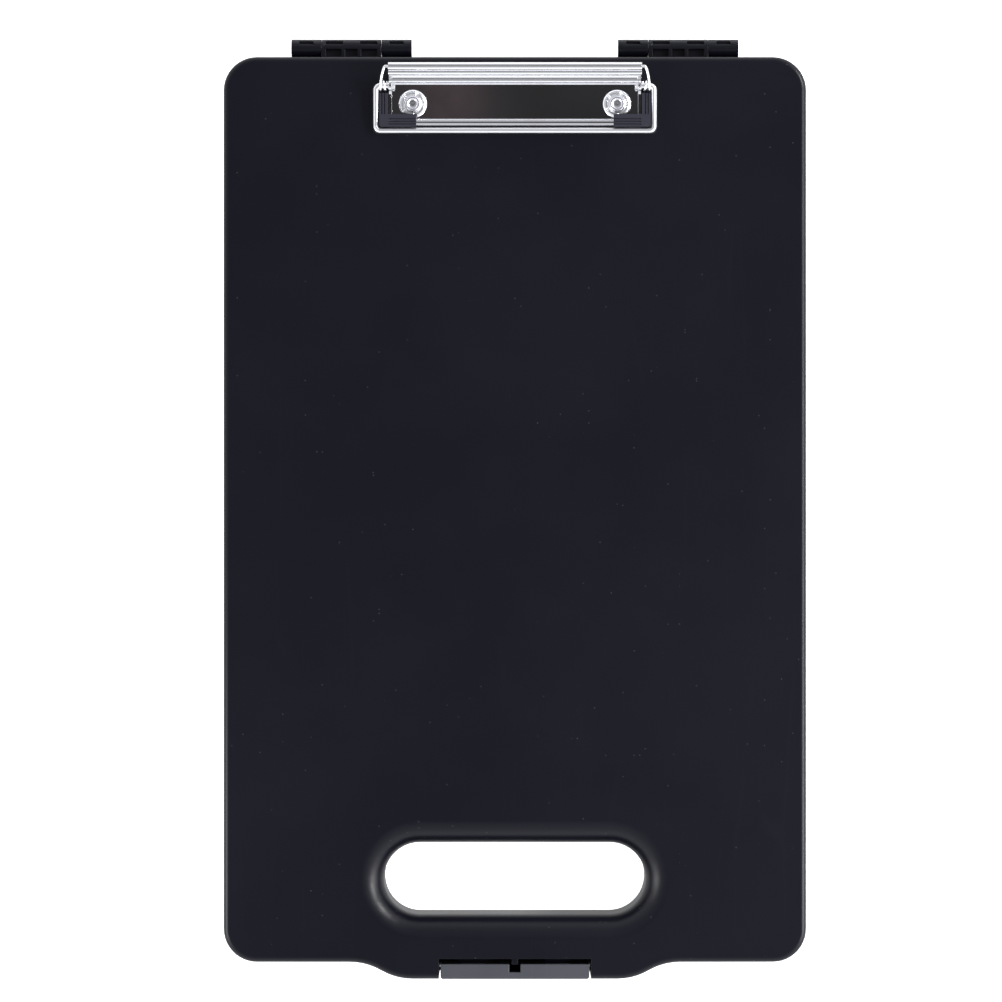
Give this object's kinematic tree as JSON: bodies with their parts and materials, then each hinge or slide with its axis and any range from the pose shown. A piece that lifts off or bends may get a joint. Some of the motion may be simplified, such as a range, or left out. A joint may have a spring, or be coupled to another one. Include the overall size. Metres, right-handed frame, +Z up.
{
  "type": "storage clipboard box",
  "caption": "Slim plastic storage box whose hinged lid is a clipboard, with a sprung wire clip, a hand opening and a swinging front latch.",
  "frame": {"origin": "middle of the underside's bounding rectangle, with the box lying on its back, lid up", "axes": "+X across to the right, +Y along the length towards the hinges, +Z up out of the lid"},
  "size_m": [0.245, 0.396, 0.0501],
  "materials": {
    "black_plastic": "fine matt texture",
    "grey_plastic": "satin moulded",
    "bright_plate": "bright plated sheet",
    "bright_wire": "bright plated wire",
    "spring_steel": "bright plated wire",
    "rivet_steel": "plated, slightly worn",
    "pin_steel": "drawn wire",
    "black_rubber": "matt ribbed"
  },
  "bodies": {
    "base": {"base_shell": "black_plastic", "hinge_pin_left": "pin_steel", "hinge_pin_right": "pin_steel", "latch_pin": "pin_steel"},
    "lid": {"lid_shell": "black_plastic", "clip_base_plate": "bright_plate", "clip_washer_left": "bright_plate", "clip_washer_right": "bright_plate", "clip_rivet_left": "rivet_steel", "clip_rivet_right": "rivet_steel", "rivet_back_washer_left": "rivet_steel", "rivet_back_washer_right": "rivet_steel"},
    "latch": {"latch": "grey_plastic"},
    "clip_jaw": {"clip_bail": "bright_wire", "clip_lever": "bright_plate", "clip_spring_left": "spring_steel", "clip_spring_right": "spring_steel", "corner_pad_left": "black_rubber", "corner_pad_right": "black_rubber"}
  },
  "joints": [
    {"name": "lid_open", "type": "hinge", "parent": "base", "child": "lid", "pos_m": [0, 0.19405, 0.027], "axis": [-1, 0, 0], "range_deg": [0, 180]},
    {"name": "latch_swing", "type": "hinge", "parent": "base", "child": "latch", "pos_m": [0, -0.1945, 0.008], "axis": [1, 0, 0], "range_deg": [0, 90]},
    {"name": "clip_open", "type": "hinge", "parent": "lid", "child": "clip_jaw", "pos_m": [0, 0.177, 0.0418], "axis": [-1, 0, 0], "range_deg": [0, 38], "stiffness_Nm_per_rad": 0.4, "springref_deg": -34.38}
  ]
}
